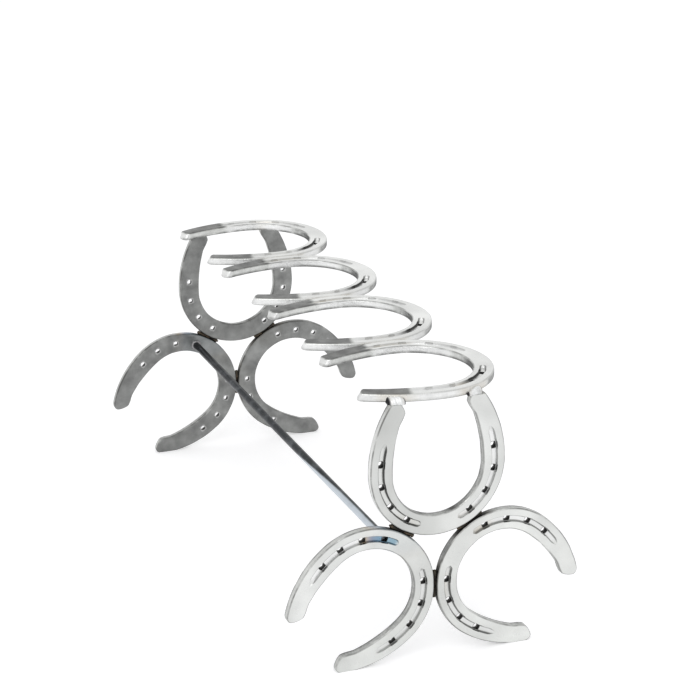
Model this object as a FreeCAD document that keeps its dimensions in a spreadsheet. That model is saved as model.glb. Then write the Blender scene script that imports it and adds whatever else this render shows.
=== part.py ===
import FreeCAD, Part
import Sketcher

import math
import os

from FreeCAD import Vector

# A boot rack welded from ten fullered horseshoes and one round bar.
# Four shoes lie flat, side by side, as the row that holds the boots.  At each end three upright
# shoes make the frame: one under the row and two that spread out below it as feet.
# X runs across the rack, Y along the row and Z up.  The origin is on the floor, midway between the
# two end frames and midway between the centres of the left and right foot shoes.

# Driving dimensions in millimetres and degrees.
SIZES = {
    # every shoe
    "shoe_thickness": 8.0,
    "rim_round": 1.2,            # rolled edge between a face and the sides
    "crease_width": 5.5,
    "crease_depth": 2.6,
    "crease_inset": 10.6,        # outer edge of the shoe to the middle of the crease
    "crease_start": 22.0,        # angle from the toe about the centre of the toe arc
    "crease_run": 30.0,          # past the widest point, towards the heels
    "nail_first": 33.5,          # angles from the toe, as for the crease
    "nail_step": 22.8,
    "nail_length": 5.0,
    "nail_width": 3.4,
    "nail_shift": 0.5,           # nail holes sit this much outside the middle of the crease
    "heel_round": 6.5,           # a heel's corners, less where its width has no room for it
    # the six shoes of the end frames
    "frame_toe_radius": 67.5,
    "frame_web": 22.2,           # width of the metal at the widest point
    "frame_web_offset": 2.0,     # how far the inner toe arc is set towards the toe
    "frame_length": 136.5,
    "frame_heel_half": 41.6,     # from the shoe's axis to the outside of a heel
    "frame_heel_web": 16.7,      # width of the metal at the heels
    # the upright is a frame shoe whose heels are longer, more open and cut level
    "upright_length": 139.0,
    "upright_heel_half": 44.1,
    "upright_cut": 5.0,          # cut from its heels, which carry the row
    "upright_lean": 2.2,         # its heels lean towards the left foot
    # the four shoes of the row, whose heels are opened wider
    "row_toe_radius": 73.0,
    "row_web": 18.0,
    "row_web_offset": -1.8,
    "row_length": 151.5,
    "row_heel_half": 52.4,
    "row_heel_web": 14.6,
    # how the shoes stand to each other
    "frame_gap": 2.5,            # between two shoes of one frame, filled by their weld
    "row_gap": 0.6,              # between two shoes of the row, filled by their weld
    "left_foot_angle": 39.0,     # heels below the horizontal
    "right_foot_angle": 37.0,
    "foot_ground_off": 0.7,      # cut from the shallower foot to stand flat
    "row_offset": 7.0,           # centre of a row shoe's toe arc from the frame's middle
    # tie bar between the left foot shoes
    "bar_diameter": 8.0,
    "bar_inset": 12.0,           # outer edge of the shoe to the middle of the bar
    "bar_angle": 31.0,           # from the shoe's toe
    # welds
    "frame_weld_length": 26.0,
    "row_weld_length": 30.0,
    "weld_reach": 3.0,           # half the width of a weld before the shoes bound it
    "heel_weld_recess": 0.3,     # its front lies this far behind the frame's face
    "heel_weld_depth": 0.2,      # how far its pad runs in past the edge of the row shoe
    "bar_weld_leg": 2.0,
    "bar_weld_crown": 0.5,       # thickness of the bar's weld where it runs out along the bar
}
ROW_SHOES = 4
NAILS_PER_BRANCH = 4
TRIANGLE = 60                    # corners of the triangle on the centres of a frame's toe arcs
HEEL_ROOM_USED = 0.95            # most of a heel's width that its two round corners take

TOUCHING = 0.001                 # points this close together count as one
CENTRE = 3                       # a sketch arc's centre point
START = 1
END = 2
ORIGIN = (-1, 1)                 # a sketch's origin point
X_AXIS = -1                      # a sketch's horizontal axis

doc = FreeCAD.newDocument("boot_rack")


# ---------------------------------------------------------------- sizes

def make_sheet(name, values):
    """A spreadsheet of plain numbers, one alias for each."""
    sheet = doc.addObject("Spreadsheet::Sheet", name)
    for line, (alias, value) in enumerate(values.items(), start=1):
        sheet.set(f"A{line}", alias)
        sheet.set(f"B{line}", repr(round(value, 6)))
        sheet.setAlias(f"B{line}", alias)
    doc.recompute()


def size_name(kind, size):
    """The name of one size of a kind of shoe; what the upright lacks it shares with the feet."""
    own = f"{kind}_{size}"
    return own if own in SIZES else f"frame_{size}"


def size_of(kind, size):
    return SIZES[size_name(kind, size)]


def heel_along(kind):
    """From the widest point of a shoe to its heels."""
    return size_of(kind, "length") - size_of(kind, "toe_radius")


def inner_radius(kind):
    """Radius of the inner toe arc."""
    return size_of(kind, "toe_radius") - size_of(kind, "web")


def branch_point(toe, branch, along):
    """Half-width of a branch at a distance along the shoe from its widest point."""
    return math.sqrt(branch**2 - along**2) - (branch - toe)


def branch_radius(toe, along, half):
    """Radius of the branch that leaves the toe arc squarely and ends at the heel's half-width."""
    drawn_in = toe - half
    return (along**2 + drawn_in**2) / (2 * drawn_in)


def heel_room(web, outer_lean, inner_lean):
    """The corner radius at which a heel's two round corners would meet."""
    square = math.pi / 2
    return web / (math.tan((square - outer_lean) / 2) + math.tan((square + inner_lean) / 2))


def branch_layout(kind):
    """The outer and inner branch radii and the heel corners of one kind of shoe."""
    half = size_of(kind, "heel_half")
    web = size_of(kind, "heel_web")
    along = heel_along(kind)
    inner_along = along + size_of(kind, "web_offset")
    outer = branch_radius(size_of(kind, "toe_radius"), along, half)
    inner = branch_radius(inner_radius(kind), inner_along, half - web)
    room = heel_room(web, math.asin(along / outer), math.asin(inner_along / inner))
    return {
        f"{kind}_branch_radius": outer,
        f"{kind}_inner_branch_radius": inner,
        f"{kind}_heel_round": min(SIZES["heel_round"], HEEL_ROOM_USED * room),
    }


def foot_reach(angle, branch):
    """How far a foot shoe reaches below the centre of its toe arc."""
    tilt = math.radians(angle)
    lowest = min(branch * math.sin(tilt), heel_along("frame"))
    side = branch_point(SIZES["frame_toe_radius"], branch, lowest)
    return lowest * math.sin(tilt) + side * math.cos(tilt)


def layout():
    """Branch radii and the places of the shoes and the bar, worked out from the sizes."""
    size = SIZES
    radii = branch_layout("frame") | branch_layout("upright") | branch_layout("row")
    spacing = 2 * size["frame_toe_radius"] + size["frame_gap"]
    reaches = [foot_reach(size[f"{hand}_foot_angle"], radii["frame_branch_radius"])
               for hand in ("left", "right")]
    foot_height = min(reaches) - size["foot_ground_off"]
    upright_height = foot_height + spacing * math.sin(math.radians(TRIANGLE))
    bar_circle = size["frame_toe_radius"] - size["bar_inset"]
    bar_direction = math.radians(size["left_foot_angle"] + size["bar_angle"])
    row_pitch = 2 * size["row_toe_radius"] + size["row_gap"]
    upright_along = heel_along("upright") - size["upright_cut"]
    outer_half = branch_point(size["frame_toe_radius"], radii["upright_branch_radius"],
                              upright_along)
    inner_half = branch_point(inner_radius("upright"), radii["upright_inner_branch_radius"],
                              upright_along + size["frame_web_offset"])
    heel_shift = upright_along * math.tan(math.radians(size["upright_lean"]))
    pad_reach = outer_half - size["rim_round"]
    left_edge = branch_point(size["row_toe_radius"], radii["row_branch_radius"],
                             pad_reach + heel_shift + size["row_offset"])
    right_edge = branch_point(size["row_toe_radius"], size["row_toe_radius"],
                              pad_reach - heel_shift - size["row_offset"])
    return radii | {
        "foot_side": spacing / 2,
        "foot_height": foot_height,
        "upright_height": upright_height,
        "upright_heel_middle": (outer_half + inner_half) / 2,
        "upright_heel_web": outer_half - inner_half,
        "upright_heel_shift": heel_shift,
        "row_edge_depth": size["row_toe_radius"] - min(left_edge, right_edge),
        "row_underside": upright_height + upright_along,
        "row_pitch": row_pitch,
        "row_end": (ROW_SHOES - 1) * row_pitch / 2 + size["row_toe_radius"],
        "bar_side": -spacing / 2 + bar_circle * math.cos(bar_direction),
        "bar_height": foot_height + bar_circle * math.sin(bar_direction),
    }


make_sheet("Sizes", SIZES)
LAYOUT = layout()
make_sheet("Layout", LAYOUT)


def bind(thing, **expressions):
    """Bind properties of an object to expressions over the two sheets."""
    for prop, expression in expressions.items():
        thing.setExpression(prop.replace("__", "."), expression)


def place(thing, x, y, z, turn="rotation(vector(0;0;1);0)"):
    """Bind an object's Placement: its origin and its turn, each an expression."""
    thing.setExpression("Placement", f"placement(vector({x};{y};{z});{turn})")


# ---------------------------------------------------------------- sketches

def origin_feature(body, role):
    """One of a body's own origin planes or axes."""
    return next(part for part in body.Origin.OriginFeatures if part.Role == role)


def sketch_on_base(body, name, height=None):
    """A sketch on the body's XY plane, or parallel to it at a height."""
    sketch = body.newObject("Sketcher::SketchObject", name)
    sketch.AttachmentSupport = [(origin_feature(body, "XY_Plane"), "")]
    sketch.MapMode = "FlatFace"
    if height:
        sketch.setExpression("AttachmentOffset.Base.z", height)
    return sketch


def arc(x, y, radius, start, end):
    """A sketch arc about (x, y), counter-clockwise from start to end in degrees."""
    circle = Part.Circle(Vector(x, y, 0), Vector(0, 0, 1), radius)
    return Part.ArcOfCircle(circle, math.radians(start), math.radians(end))


def segment(first, second):
    return Part.LineSegment(Vector(*first, 0), Vector(*second, 0))


def constrain(sketch, *arguments, expression=None):
    """Add a constraint, bound to an expression where it has one."""
    number = sketch.addConstraint(Sketcher.Constraint(*arguments))
    if expression:
        sketch.setExpression(f"Constraints[{number}]", expression)


def add_rail(sketch, centre_x, toe, branch, along, toe_name, branch_name):
    """One edge of the shoe: a toe half-circle and two tangent branch arcs, ending at along.

    Returns the sketch numbers of the toe arc, the upper branch arc and the lower branch arc.
    """
    sink = branch - toe
    end_angle = math.degrees(math.acos((along - centre_x) / branch))
    rail = [
        sketch.addGeometry(arc(centre_x, 0, toe, 90, 270)),
        sketch.addGeometry(arc(centre_x, -sink, branch, end_angle, 90)),
        sketch.addGeometry(arc(centre_x, sink, branch, 270, 360 - end_angle)),
    ]
    toe_arc, upper, lower = rail
    constrain(sketch, "Tangent", upper, END, toe_arc, START)
    constrain(sketch, "Tangent", lower, START, toe_arc, END)
    constrain(sketch, "Vertical", toe_arc, CENTRE, upper, CENTRE)
    constrain(sketch, "Vertical", toe_arc, CENTRE, lower, CENTRE)
    constrain(sketch, "Radius", toe_arc, toe, expression=toe_name)
    constrain(sketch, "Radius", upper, branch, expression=branch_name)
    constrain(sketch, "Radius", lower, branch, expression=branch_name)
    return rail


def outline_sketch(body, kind):
    """The shoe seen from above, with its toe towards -X and its heels towards +X."""
    toe = size_of(kind, "toe_radius")
    toe_name = f"Sizes.{size_name(kind, 'toe_radius')}"
    inner = inner_radius(kind)
    branch = LAYOUT[f"{kind}_branch_radius"]
    inner_branch = LAYOUT[f"{kind}_inner_branch_radius"]
    offset = size_of(kind, "web_offset")
    heel = heel_along(kind)
    sketch = sketch_on_base(body, "Outline")
    outer_rail = add_rail(sketch, 0, toe, branch, heel, toe_name, f"Layout.{kind}_branch_radius")
    inner_rail = add_rail(sketch, -offset, inner, inner_branch, heel,
                          f"{toe_name} - Sizes.{size_name(kind, 'web')}",
                          f"Layout.{kind}_inner_branch_radius")
    constrain(sketch, "Coincident", outer_rail[0], CENTRE, *ORIGIN)
    constrain(sketch, "PointOnObject", inner_rail[0], CENTRE, X_AXIS)
    constrain(sketch, "DistanceX", inner_rail[0], CENTRE, *ORIGIN, offset,
              expression=f"Sizes.{size_name(kind, 'web_offset')}")
    outer_half = branch_point(toe, branch, heel)
    inner_half = branch_point(inner, inner_branch, heel + offset)
    for side, branch_number, arc_end in ((1, 1, START), (-1, 2, END)):
        heel_line = sketch.addGeometry(segment((heel, side * outer_half),
                                               (heel, side * inner_half)))
        constrain(sketch, "Coincident", heel_line, START, outer_rail[branch_number], arc_end)
        constrain(sketch, "Coincident", heel_line, END, inner_rail[branch_number], arc_end)
        constrain(sketch, "Vertical", heel_line)
        constrain(sketch, "DistanceX", *ORIGIN, heel_line, START, heel,
                  expression=f"Sizes.{size_name(kind, 'length')} - {toe_name}")
    return sketch


def crease_sketch(body, kind):
    """The fullered crease of the upper branch, concentric with the shoe's outer edge.

    It starts beside the toe, runs round to the widest point and on along the branch.
    """
    toe = size_of(kind, "toe_radius") - SIZES["crease_inset"]
    toe_name = f"Sizes.{size_name(kind, 'toe_radius')}"
    branch = LAYOUT[f"{kind}_branch_radius"] - SIZES["crease_inset"]
    sink = branch - toe
    half = SIZES["crease_width"] / 2
    start = math.radians(SIZES["crease_start"])
    run = SIZES["crease_run"]
    sketch = sketch_on_base(body, "Crease", "Sizes.shoe_thickness")
    edges = []
    for sign, word in ((1, "+"), (-1, "-")):
        toe_radius = toe + sign * half
        outer_radius = branch + sign * half
        free_angle = math.degrees(math.acos(run / outer_radius))
        toe_arc = sketch.addGeometry(arc(0, 0, toe_radius, 90, 180 - SIZES["crease_start"]))
        branch_arc = sketch.addGeometry(arc(0, -sink, outer_radius, free_angle, 90))
        constrain(sketch, "Coincident", toe_arc, CENTRE, *ORIGIN)
        constrain(sketch, "Tangent", branch_arc, END, toe_arc, START)
        constrain(sketch, "Vertical", toe_arc, CENTRE, branch_arc, CENTRE)
        for number, radius, name in (
                (toe_arc, toe_radius, toe_name),
                (branch_arc, outer_radius, f"Layout.{kind}_branch_radius")):
            constrain(sketch, "Radius", number, radius, expression=(
                f"{name} - Sizes.crease_inset {word} Sizes.crease_width / 2"))
        edges.append((toe_arc, branch_arc, toe_radius, outer_radius))
    (outer_toe, outer_branch, *outer), (inner_toe, inner_branch, *inner) = edges
    front = sketch.addGeometry(segment(*(
        (-radius * math.cos(start), radius * math.sin(start)) for radius in (outer[0], inner[0]))))
    constrain(sketch, "Coincident", front, START, outer_toe, END)
    constrain(sketch, "Coincident", front, END, inner_toe, END)
    constrain(sketch, "PointOnObject", *ORIGIN, front)
    constrain(sketch, "DistanceY", *ORIGIN, front, START, outer[0] * math.sin(start), expression=(
        f"({toe_name} - Sizes.crease_inset + Sizes.crease_width / 2)"
        " * sin(Sizes.crease_start * 1 deg)"))
    back = sketch.addGeometry(segment(*(
        (run, math.sqrt(radius**2 - run**2) - sink) for radius in (outer[1], inner[1]))))
    constrain(sketch, "Coincident", back, START, outer_branch, START)
    constrain(sketch, "Coincident", back, END, inner_branch, START)
    constrain(sketch, "Vertical", back)
    constrain(sketch, "DistanceX", *ORIGIN, back, START, run, expression="Sizes.crease_run")
    return sketch


def nail_sketch(body, kind):
    """The nail hole nearest the toe: a slot along the crease, turned from the toe."""
    line = size_of(kind, "toe_radius") - SIZES["crease_inset"] + SIZES["nail_shift"]
    line_name = f"Sizes.{size_name(kind, 'toe_radius')} - Sizes.crease_inset + Sizes.nail_shift"
    half_width = SIZES["nail_width"] / 2
    half_length = SIZES["nail_length"] / 2
    sketch = sketch_on_base(body, "Nail", "Sizes.shoe_thickness")
    corners = [(-line - half_width, -half_length), (-line + half_width, -half_length),
               (-line + half_width, half_length), (-line - half_width, half_length)]
    sides = [sketch.addGeometry(segment(corners[i], corners[(i + 1) % 4])) for i in range(4)]
    for i, run in enumerate(sides):
        constrain(sketch, "Coincident", run, END, sides[(i + 1) % 4], START)
        constrain(sketch, ("Horizontal", "Vertical")[i % 2], run)
    constrain(sketch, "DistanceY", *ORIGIN, sides[2], START, half_length,
              expression="Sizes.nail_length / 2")
    constrain(sketch, "DistanceY", sides[1], START, sides[1], END, 2 * half_length,
              expression="Sizes.nail_length")
    constrain(sketch, "DistanceX", sides[0], START, *ORIGIN, line + half_width,
              expression=f"{line_name} + Sizes.nail_width / 2")
    constrain(sketch, "DistanceX", sides[0], END, *ORIGIN, line - half_width,
              expression=f"{line_name} - Sizes.nail_width / 2")
    bind(sketch, AttachmentOffset__Rotation__Angle="-Sizes.nail_first")
    return sketch


# ---------------------------------------------------------------- one shoe

def edges_where(feature, test):
    """Names of a feature's edges whose end points and middle all pass a test."""
    names = []
    for number, edge in enumerate(feature.Shape.Edges, start=1):
        middle = edge.valueAt((edge.FirstParameter + edge.LastParameter) / 2)
        if all(test(point) for point in [middle] + [vertex.Point for vertex in edge.Vertexes]):
            names.append(f"Edge{number}")
    return names


def add_fillet(body, base, name, edges, radius):
    fillet = body.newObject("PartDesign::Fillet", name)
    fillet.Base = (base, edges)
    bind(fillet, Radius=radius)
    doc.recompute()
    return fillet


def add_pocket(body, sketch, name, depth=None):
    """Cut a sketch into the shoe's face, to a depth or right through."""
    pocket = body.newObject("PartDesign::Pocket", name)
    pocket.Profile = sketch
    if depth:
        bind(pocket, Length=depth)
    else:
        pocket.Type = "ThroughAll"
    doc.recompute()
    return pocket


def shoe(label, kind):
    """A fullered shoe: outline, rolled rims, two creases and four nail holes a branch."""
    body = doc.addObject("PartDesign::Body", label)
    body.Label = label
    tip = body.newObject("PartDesign::Pad", "Bar")
    tip.Profile = outline_sketch(body, kind)
    bind(tip, Length="Sizes.shoe_thickness")
    doc.recompute()
    heel = heel_along(kind)
    thickness = SIZES["shoe_thickness"]

    def at_the_heel(point):
        return abs(point.x - heel) < TOUCHING

    def on_a_face(point):
        return min(abs(point.z), abs(point.z - thickness)) < TOUCHING

    face_edges = edges_where(tip, on_a_face)
    corners = [name for name in edges_where(tip, at_the_heel) if name not in face_edges]
    tip = add_fillet(body, tip, "HeelCorners", corners, f"Layout.{kind}_heel_round")
    add_fillet(body, tip, "Rims", edges_where(tip, on_a_face), "Sizes.rim_round")
    crease = add_pocket(body, crease_sketch(body, kind), "CreaseCut", "Sizes.crease_depth")
    other_crease = body.newObject("PartDesign::Mirrored", "OtherCrease")
    other_crease.Originals = [crease]
    other_crease.MirrorPlane = (origin_feature(body, "XZ_Plane"), [""])
    body.Tip = other_crease
    doc.recompute()
    nail_holes(body, add_pocket(body, nail_sketch(body, kind), "NailHole"))
    return body


def nail_holes(body, first):
    """Repeat the first nail hole along its branch, and all of them on the other branch."""
    holes = doc.addObject("PartDesign::MultiTransform", "NailHoles")
    holes.Originals = [first]
    along = doc.addObject("PartDesign::PolarPattern", "AlongBranch")
    along.Axis = (origin_feature(body, "Z_Axis"), [""])
    along.Reversed = True
    along.Occurrences = NAILS_PER_BRANCH
    bind(along, Angle=f"Sizes.nail_step * {NAILS_PER_BRANCH - 1}")
    across = doc.addObject("PartDesign::Mirrored", "AcrossShoe")
    across.MirrorPlane = (origin_feature(body, "XZ_Plane"), [""])
    holes.Transformations = [along, across]
    body.addObject(holes)
    body.Tip = holes
    doc.recompute()


# ---------------------------------------------------------------- assembly

sub_parts = []


def finish(thing, label):
    """Name a sub-part and put it on the list of those that are written."""
    thing.Label = label
    sub_parts.append(thing)
    return thing


def cut(label, base, *tools):
    """Part cuts of a base by each tool in turn; the last one is the result."""
    for number, tool in enumerate(tools):
        step = doc.addObject("Part::Cut", f"{label}_cut{number}")
        step.Base = base
        step.Tool = tool
        base = step
    return base


def centred_box(name, length, width, height, at, turn="rotation(vector(0;0;1);0)"):
    """A Part::Box about its own middle, at a place and turn."""
    box = doc.addObject("Part::Box", name)
    bind(box, Length=length, Width=width, Height=height)
    to_corner = f"placement(vector(-({length})/2;-({width})/2;-({height})/2);rotation(vector(0;0;1);0))"
    box.setExpression("Placement", (
        f"placement(vector({at[0]};{at[1]};{at[2]});{turn}) * {to_corner}"))
    return box


def level_block(name, middle):
    """A block that passes the whole rack on every side, to cut its shoes off level."""
    return centred_box(name, "4 * Sizes.frame_length", "4 * Layout.row_end",
                       "Sizes.frame_length", ("0", "0", middle))


def row():
    """The four flat shoes and the welds between neighbours."""
    first_centre = "-Layout.row_end + Sizes.row_toe_radius"
    shoes = []
    for number in range(ROW_SHOES):
        label = f"row_shoe_{number + 1}"
        body = finish(shoe(label, "row"), label)
        place(body, "Sizes.row_offset", f"{first_centre} + {number} * Layout.row_pitch",
              "Layout.row_underside", "rotation(vector(0;0;1);180)")
        shoes.append(body)
    for number in range(ROW_SHOES - 1):
        label = f"row_weld_{number + 1}_{number + 2}"
        bead = centred_box(
            f"Bead_{label}", "Sizes.row_weld_length", "2 * Sizes.weld_reach",
            "Sizes.shoe_thickness - 2 * Sizes.rim_round",
            ("Sizes.row_offset", f"{first_centre} + {number + 0.5} * Layout.row_pitch",
             "Layout.row_underside + Sizes.shoe_thickness / 2"))
        finish(cut(label, bead, shoes[number], shoes[number + 1]), label)
    return shoes


def frame_turn(face_side, heel_angle):
    """Turn a shoe upright, fullered face outwards, its heels at an angle above +X."""
    return (f"rotation(vector(0;1;0);-({heel_angle}))"
            f" * rotation(vector(1;0;0);{-90 * face_side})")


def frame(end, face_side, floor_block, row_block, row_shoe):
    """One end frame of three shoes, its welds and the welds that carry the row."""
    back = f"{face_side} * (Layout.row_end - Sizes.shoe_thickness)"
    shoes = []
    for word, kind, side, height, angle, block in (
            ("upright", "upright", 0, "Layout.upright_height", "90 + Sizes.upright_lean",
             row_block),
            ("left_foot", "frame", -1, "Layout.foot_height", "180 + Sizes.left_foot_angle",
             floor_block),
            ("right_foot", "frame", 1, "Layout.foot_height", "-Sizes.right_foot_angle",
             floor_block)):
        label = f"{end}_{word}_shoe"
        forged = shoe(f"{label}_forged", kind)
        place(forged, f"{side} * Layout.foot_side", back, height, frame_turn(face_side, angle))
        shoes.append(finish(cut(label, forged, block), label))
    frame_welds(end, face_side, *shoes)
    heel_welds(end, face_side, row_shoe)


def frame_welds(end, face_side, upright, left_foot, right_foot):
    """The welds where two shoes of a frame meet, each square to the line of their centres."""
    middle = f"{face_side} * (Layout.row_end - Sizes.shoe_thickness / 2)"
    halfway = "(Layout.foot_height + Layout.upright_height) / 2"
    for hand, x, z, tilt, pair in (
            ("left", "-Layout.foot_side / 2", halfway, 90 - TRIANGLE, (upright, left_foot)),
            ("right", "Layout.foot_side / 2", halfway, TRIANGLE - 90, (upright, right_foot)),
            ("middle", "0", "Layout.foot_height", 90, (left_foot, right_foot))):
        label = f"{end}_frame_weld_{hand}"
        bead = centred_box(
            f"Bead_{label}", "Sizes.frame_weld_length",
            "Sizes.shoe_thickness - 2 * Sizes.rim_round", "2 * Sizes.weld_reach",
            (x, middle, z), f"rotation(vector(0;1;0);{tilt})")
        finish(cut(label, bead, *pair), label)


def heel_welds(end, face_side, row_shoe):
    """Pads on the upright shoe's heels that fill the corner against the row shoe's edge."""
    height = "(Sizes.shoe_thickness - Sizes.rim_round)"
    depth = "(Layout.row_edge_depth + Sizes.heel_weld_depth - Sizes.heel_weld_recess)"
    for hand, side in (("left", -1), ("right", 1)):
        label = f"{end}_heel_weld_{hand}"
        pad = centred_box(
            f"Pad_{label}", "Layout.upright_heel_web - 2 * Sizes.rim_round", depth, height,
            (f"{side} * Layout.upright_heel_middle - Layout.upright_heel_shift",
             f"{face_side} * (Layout.row_end - Sizes.heel_weld_recess - {depth} / 2)",
             f"Layout.row_underside + {height} / 2"))
        finish(cut(label, pad, row_shoe), label)


def tie_bar(ends):
    """The round bar between the left foot shoes, butted on their backs and welded round."""
    reach = "(Layout.row_end - Sizes.shoe_thickness)"
    bar = finish(doc.addObject("Part::Cylinder", "tie_bar"), "tie_bar")
    bind(bar, Radius="Sizes.bar_diameter / 2", Height=f"2 * {reach}")
    place(bar, "Layout.bar_side", f"-{reach}", "Layout.bar_height",
          "rotation(vector(1;0;0);-90)")
    for end, face_side in ends:
        label = f"{end}_bar_weld"
        ring = doc.addObject("Part::Cone", f"Ring_{label}")
        bind(ring, Radius1="Sizes.bar_diameter / 2 + Sizes.bar_weld_leg",
             Radius2="Sizes.bar_diameter / 2 + Sizes.bar_weld_crown",
             Height="Sizes.bar_weld_leg")
        place(ring, "Layout.bar_side", f"{face_side} * {reach}", "Layout.bar_height",
              f"rotation(vector(1;0;0);{90 * face_side})")
        finish(cut(label, ring, bar), label)


def check(parts):
    """Stop on any failed feature or unsound shape."""
    doc.recompute()
    for thing in doc.Objects:
        if {"Invalid", "Error"} & set(thing.State):
            raise RuntimeError(f"{thing.Name} failed: {thing.State}")
    for part in parts:
        if part.Shape.isNull() or not part.Shape.isValid() or len(part.Shape.Solids) != 1:
            raise RuntimeError(f"{part.Label} is not one sound solid")


ENDS = (("near", -1), ("far", 1))
row_shoes = row()
under_floor = level_block("FloorBlock", "-Sizes.frame_length / 2")
over_heels = level_block("RowBlock", "Layout.row_underside + Sizes.frame_length / 2")
for end_name, facing in ENDS:
    frame(end_name, facing, under_floor, over_heels, row_shoes[0] if facing < 0 else row_shoes[-1])
tie_bar(ENDS)
check(sub_parts)

os.makedirs("parts", exist_ok=True)
for sub_part in sub_parts:
    sub_part.Shape.exportStep(f"parts/{sub_part.Label}.step")
    print(f"{sub_part.Label}: {sub_part.Shape.Volume:.0f} mm3")
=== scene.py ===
from collections import namedtuple
from math import atan2, copysign, cos, exp, pi, radians, sin, sqrt

import bmesh
import bpy
from mathutils import Matrix, Vector, noise


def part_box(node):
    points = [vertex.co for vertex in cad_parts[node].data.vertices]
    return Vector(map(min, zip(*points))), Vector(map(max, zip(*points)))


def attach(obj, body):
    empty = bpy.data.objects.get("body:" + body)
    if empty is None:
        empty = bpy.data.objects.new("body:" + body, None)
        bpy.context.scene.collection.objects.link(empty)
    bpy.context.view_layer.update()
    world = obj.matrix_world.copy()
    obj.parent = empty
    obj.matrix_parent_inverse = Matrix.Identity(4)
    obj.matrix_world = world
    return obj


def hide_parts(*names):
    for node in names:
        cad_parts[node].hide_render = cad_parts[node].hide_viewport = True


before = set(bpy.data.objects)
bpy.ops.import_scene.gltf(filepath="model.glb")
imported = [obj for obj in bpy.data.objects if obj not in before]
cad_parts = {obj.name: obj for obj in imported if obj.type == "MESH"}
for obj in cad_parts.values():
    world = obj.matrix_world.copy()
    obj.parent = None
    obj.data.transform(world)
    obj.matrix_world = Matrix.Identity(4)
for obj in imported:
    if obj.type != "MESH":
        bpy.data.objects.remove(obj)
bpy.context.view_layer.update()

# A boot rack welded from ten fullered horseshoes and one round bar: four shoes lie flat as the row,
# three stand upright at each end as the frame.  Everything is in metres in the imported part's frame:
# X across the rack, Y along the row, Z up, the floor at zero.

MM = 0.001


# ---- the shoe's sizes

CREASE_INSET = 10.6 * MM  # outer edge of the shoe to the middle of the crease
CREASE_HALF = 3.0 * MM
CREASE_FLOOR_HALF = 2.1 * MM
CREASE_DEPTH = 2.7 * MM
CREASE_START = radians(19)  # from the middle of the toe
CREASE_TOE_FADE = 3.5 * MM  # length over which the crease runs out at the toe
CREASE_HEEL_FADE = 9 * MM
CREASE_PAST = 37 * MM  # past the widest point, to where it has run out at the heel
NAIL_ANGLES = [radians(33.5 + 22.8 * number) for number in range(4)]
NAIL_HALF = 3.1 * MM  # half a hole's length along the crease
NAIL_HALF_WIDTH = 2.6 * MM
NAIL_SWELL = 0.3 * MM  # the punch widens the crease beside a hole
NAIL_LEAD = 0.7 * MM  # over this length
NAIL_CORNER = 0.9  # how far the corners of a hole's mouth are drawn in
NAIL_THROAT = 0.98  # size of a hole part way down, as a share of its mouth
NAIL_THROAT_DEPTH = 3.2 * MM
NAIL_EXIT_RADIUS = 2.7 * MM
NAIL_LIP = 0.3 * MM  # how far the lip of a hole's exit runs into it
NAIL_CLEAR = 3.9 * MM  # the marks of a hole's exit end here
RIM = 1.5 * MM  # radius of the rolled edges
HAMMERED = 0.35 * MM  # how far the hammer drew in the walls here and there
HAMMER_MARKS = 17 * MM  # size of those places
STEP = 2.6 * MM  # spacing of the sections along a shoe
RIM_STEPS = 4
CAP_STEPS = 9
HEEL_SEARCH = 0.1 * MM


class Pattern:
    """The plan of one kind of shoe, toe towards -X and heels towards +X, in metres."""

    def __init__(self, toe_radius, web, web_offset, length, heel_half, heel_web):
        self.toe = toe_radius
        self.inner_toe = toe_radius - web
        self.offset = web_offset  # the inner toe arc is set towards the toe
        self.along = length - toe_radius  # from the widest point to the heels
        self.branch = self.branch_radius(self.toe, self.along, heel_half)
        self.inner_branch = self.branch_radius(
            self.inner_toe, self.along + web_offset, heel_half - heel_web)
        self.quarter = self.toe * pi / 2  # run of the outer edge, toe to widest point

    @staticmethod
    def branch_radius(toe, along, half):
        drawn_in = toe - half
        return (along**2 + drawn_in**2) / (2 * drawn_in)

    def outer_half(self, along):
        """Half the shoe's width at a distance from its widest point, towards the heels."""
        radius = self.toe if along < 0 else self.branch
        return sqrt(radius**2 - along**2) - radius + self.toe

    def section(self, run):
        """Middle of the web, half its width and the way out, at a run of the outer edge."""
        if run <= self.quarter:
            turn = run / self.toe
            out = Vector((-cos(turn), sin(turn)))
            start, outer = Vector((0, 0)), self.toe
            inner_centre, inner_radius = Vector((-self.offset, 0)), self.inner_toe
        else:
            turn = (run - self.quarter) / self.branch
            out = Vector((sin(turn), cos(turn)))
            start, outer = Vector((0, self.toe - self.branch)), self.branch
            inner_centre = Vector((-self.offset, self.inner_toe - self.inner_branch))
            inner_radius = self.inner_branch
        across = start - inner_centre
        reach = out.dot(across)
        inner = -reach + sqrt(reach**2 - across.length_squared + inner_radius**2)
        return start + out * (outer + inner) / 2, (outer - inner) / 2, out

    def run_at(self, angle):
        """Run of the outer edge at an angle from the toe, about the centre of the toe arc."""
        if angle <= pi / 2:
            return self.toe * angle
        line = self.toe - CREASE_INSET
        x = -line * cos(angle)
        y = line * sin(angle) + self.branch - self.toe
        return self.quarter + self.branch * atan2(x, y)

    def heel_run(self):
        """Run where the round end of the heel begins, so that its tip lies at the full length."""
        run = self.quarter
        while True:
            middle, half, _ = self.section(run)
            if middle.x + half >= self.along:
                return run
            run += HEEL_SEARCH


FRAME_SHOE = Pattern(67.5 * MM, 22.2 * MM, 2.0 * MM, 136.5 * MM, 41.6 * MM, 16.7 * MM)
UPRIGHT_SHOE = Pattern(67.5 * MM, 22.2 * MM, 2.0 * MM, 139.0 * MM, 44.1 * MM, 16.7 * MM)
ROW_SHOE = Pattern(73.0 * MM, 18.0 * MM, -1.8 * MM, 151.5 * MM, 52.4 * MM, 14.6 * MM)


# ---- skins and meshes

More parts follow.
